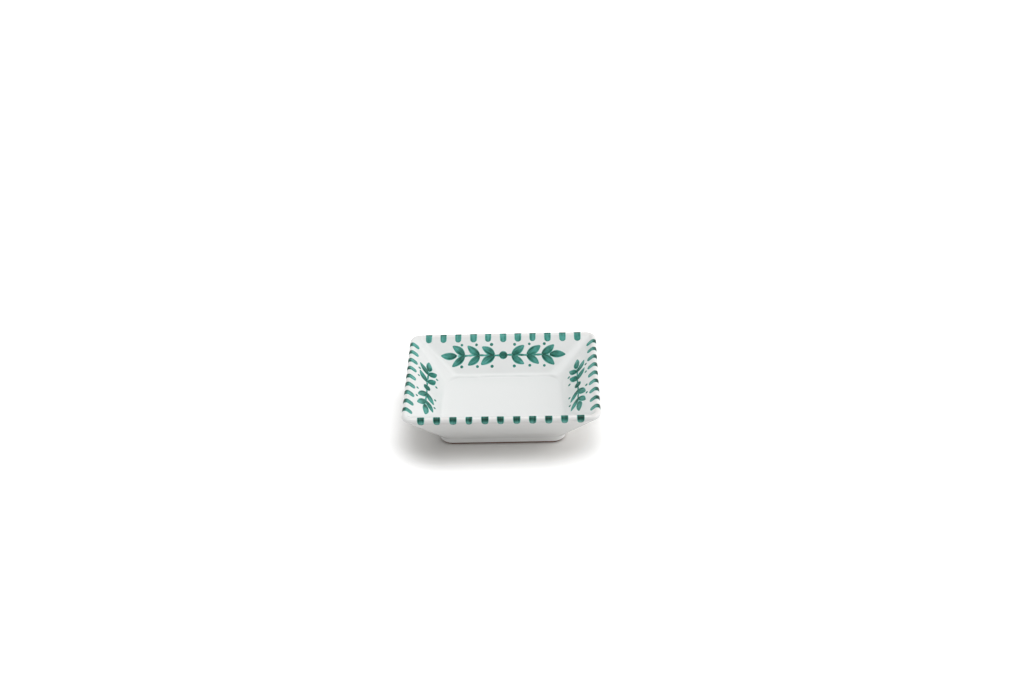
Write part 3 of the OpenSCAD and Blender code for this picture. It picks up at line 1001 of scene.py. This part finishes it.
# %% Green pigment: the colours and the surface
GREENS = [(0.0, (0.81, 0.86, 0.845)), (0.14, (0.64, 0.82, 0.78)), (0.3, (0.21, 0.55, 0.49)),
          (0.52, (0.09, 0.385, 0.335)), (0.74, (0.03, 0.205, 0.158)), (0.9, (0.004, 0.09, 0.062)),
          (1.0, (0.001, 0.045, 0.03))]
BRISTLE_RELIEF = 0.01
ramp = tree.nodes.new("ShaderNodeValToRGB")
for number, (position, colour) in enumerate(GREENS):
    if number > 1:
        stop = ramp.color_ramp.elements.new(position)
    else:
        stop = ramp.color_ramp.elements[number]
        stop.position = position
    stop.color = (*colour, 1)
put(tree, strength, ramp.inputs["Fac"])
put(tree, ramp.outputs["Color"], shader.inputs["Base Color"])
shader.inputs["Roughness"].default_value = 0.12
shader.inputs["IOR"].default_value = 1.3
relief = times(tree, streaks, BRISTLE_RELIEF * MM)
bump(tree, calc(tree, "ADD", glaze_skin(tree)["Height"], relief), shader)
for piece in (wall_garlands, lip_dabs):
    piece.data.materials.append(material)
print(material.name, "has", len(tree.nodes), "nodes")

# %% [markdown]
# ## Who carries what
# Each row names a piece, the solid it stands for and the finish of the record it has. Every
# piece is attached to the body it moves with, and the solid it stands for is hidden. The bowl
# has no moving parts, so there is only one body.

# %% Stand in for the solids
for piece, node, slot in [(white_glaze_coat, "glaze_coat", "white_glaze"),
                          (fired_clay_body, "clay_body", "bare_clay"),
                          (hollow_glaze, "recess_glaze", "white_glaze"),
                          (wall_garlands, "wall_brushwork", "green_pigment"),
                          (lip_dabs, "lip_brushwork", "green_pigment")]:
    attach(piece, "root")
    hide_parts(node)
    print(piece.name, "stands for", node)

# %% [markdown]
# ## Table and light
# The photograph looks like one taken in a tent of white cloth: light from all round, most of it
# from above and some from the right, where the shadow is lighter. So the world is an even white
# that lights softly, one large lamp hangs overhead, a little to the left, and a second one
# stands lower on the right. The table is nearly white, but near the bowl its colour holds a
# painted shadow, a little warm, darker on the left and lighter, a painted light, on the right. A
# small glow, only for what the camera or a reflection sees, lifts it to white farther out and
# leaves the bowl's shadow on it.

# %% Table
TABLE_SIZE = 8
fresh_start()
bpy.ops.mesh.primitive_plane_add(size=TABLE_SIZE, location=(0, 0, 0))
table = bpy.context.object
table.name = "table"


def seen_directly(tree):
    """1 for what the camera, a reflection or glass sees, 0 for light on surfaces."""
    path = tree.nodes.new("ShaderNodeLightPath").outputs
    seen = calc(tree, "MAXIMUM", path["Is Camera Ray"], path["Is Glossy Ray"])
    return calc(tree, "MAXIMUM", seen, path["Is Transmission Ray"])


# %% Material: the table
FAR_LIFT, HORIZON_LIFT, HORIZON_REACH = 0.45, 0.3, (80.0, 700.0)
SHADE_STARTS, SHADE_ENDS, SHADE_CORNER, SHADE_MIDDLE = -9.0, 13.2, 22.0, -2.9
# The left and near colours hold painted shadow, the right colour painted light; the far colour is the plain
# table.
LEFT_SHADOW_COLOUR, NEAR_SHADOW_COLOUR = (0.715, 0.704, 0.69, 1), (0.838, 0.824, 0.806, 1)
RIGHT_LIT_COLOUR, FAR_COLOUR = (0.915, 0.90, 0.88, 1), (0.88, 0.88, 0.878, 1)
LEFT_SHADOW_REACH, RIGHT_LIT_REACH = (-55.0, -12.0), (5.0, 45.0)
material, tree, shader = new_material("table_white")
shader.inputs["Roughness"].default_value = 0.9
shader.inputs["Specular IOR Level"].default_value = 0.0
shader.inputs["Emission Color"].default_value = (1, 1, 1, 1)
place = here(tree)

beyond = []
for reach, length in zip(from_middle(tree, place, SHADE_MIDDLE), (RIM_LENGTH, RIM_WIDTH)):
    over = calc(tree, "MAXIMUM", calc(tree, "SUBTRACT", reach, length / 2 - SHADE_CORNER), 0.0)
    beyond.append(calc(tree, "POWER", over, 2.0))
beyond = calc(tree, "SUBTRACT", calc(tree, "SQRT", calc(tree, "ADD", *beyond)), SHADE_CORNER)
far = mask(tree, beyond, SHADE_STARTS, SHADE_ENDS)

# Painted shadow in the table's colour: darker and a little warm near the bowl, darker still on the left, and
# lighter, a painted light, on the right.
rightward = coordinate(tree, place, "X")
colour = blend(tree, mask(tree, rightward, *LEFT_SHADOW_REACH), LEFT_SHADOW_COLOUR, NEAR_SHADOW_COLOUR)
colour = blend(tree, mask(tree, rightward, *RIGHT_LIT_REACH), colour, RIGHT_LIT_COLOUR)
put(tree, blend(tree, far, colour, FAR_COLOUR), shader.inputs["Base Color"])

lift = calc(tree, "MULTIPLY_ADD", mask(tree, beyond, *HORIZON_REACH), HORIZON_LIFT,
            times(tree, far, FAR_LIFT))
put(tree, times(tree, seen_directly(tree), lift), shader.inputs["Emission Strength"])
table.data.materials.append(material)
print(f"the table is white from {SHADE_ENDS} mm beyond the rim")

# %% World and lamps, each lamp with its name, place, size and power
TENT_LIGHT = 0.40
LAMPS = [("lamp_above", (-0.24, -0.02, 1.24), 1.15, 7.9), ("lamp_right", (1.0, 0.0, 0.5), 0.95, 5.8)]
world = bpy.data.worlds.new("tent")
bpy.context.scene.world = world
world.use_nodes = True
tree = world.node_tree
sky = tree.nodes["Background"]
sky.inputs["Color"].default_value = (1, 1, 1, 1)
brightness = calc(tree, "MULTIPLY_ADD", seen_directly(tree), 1 - TENT_LIGHT, TENT_LIGHT)
put(tree, brightness, sky.inputs["Strength"])

for name, place, size, watts in LAMPS:
    lamp_data = bpy.data.lights.new(name, "AREA")
    lamp_data.size, lamp_data.energy = size, watts
    lamp = bpy.data.objects.new(name, lamp_data)
    lamp.location = place
    lamp.rotation_euler = (-Vector(place)).to_track_quat("-Z", "Y").to_euler()
    bpy.context.collection.objects.link(lamp)
    print(name, "gives", watts, "watts")
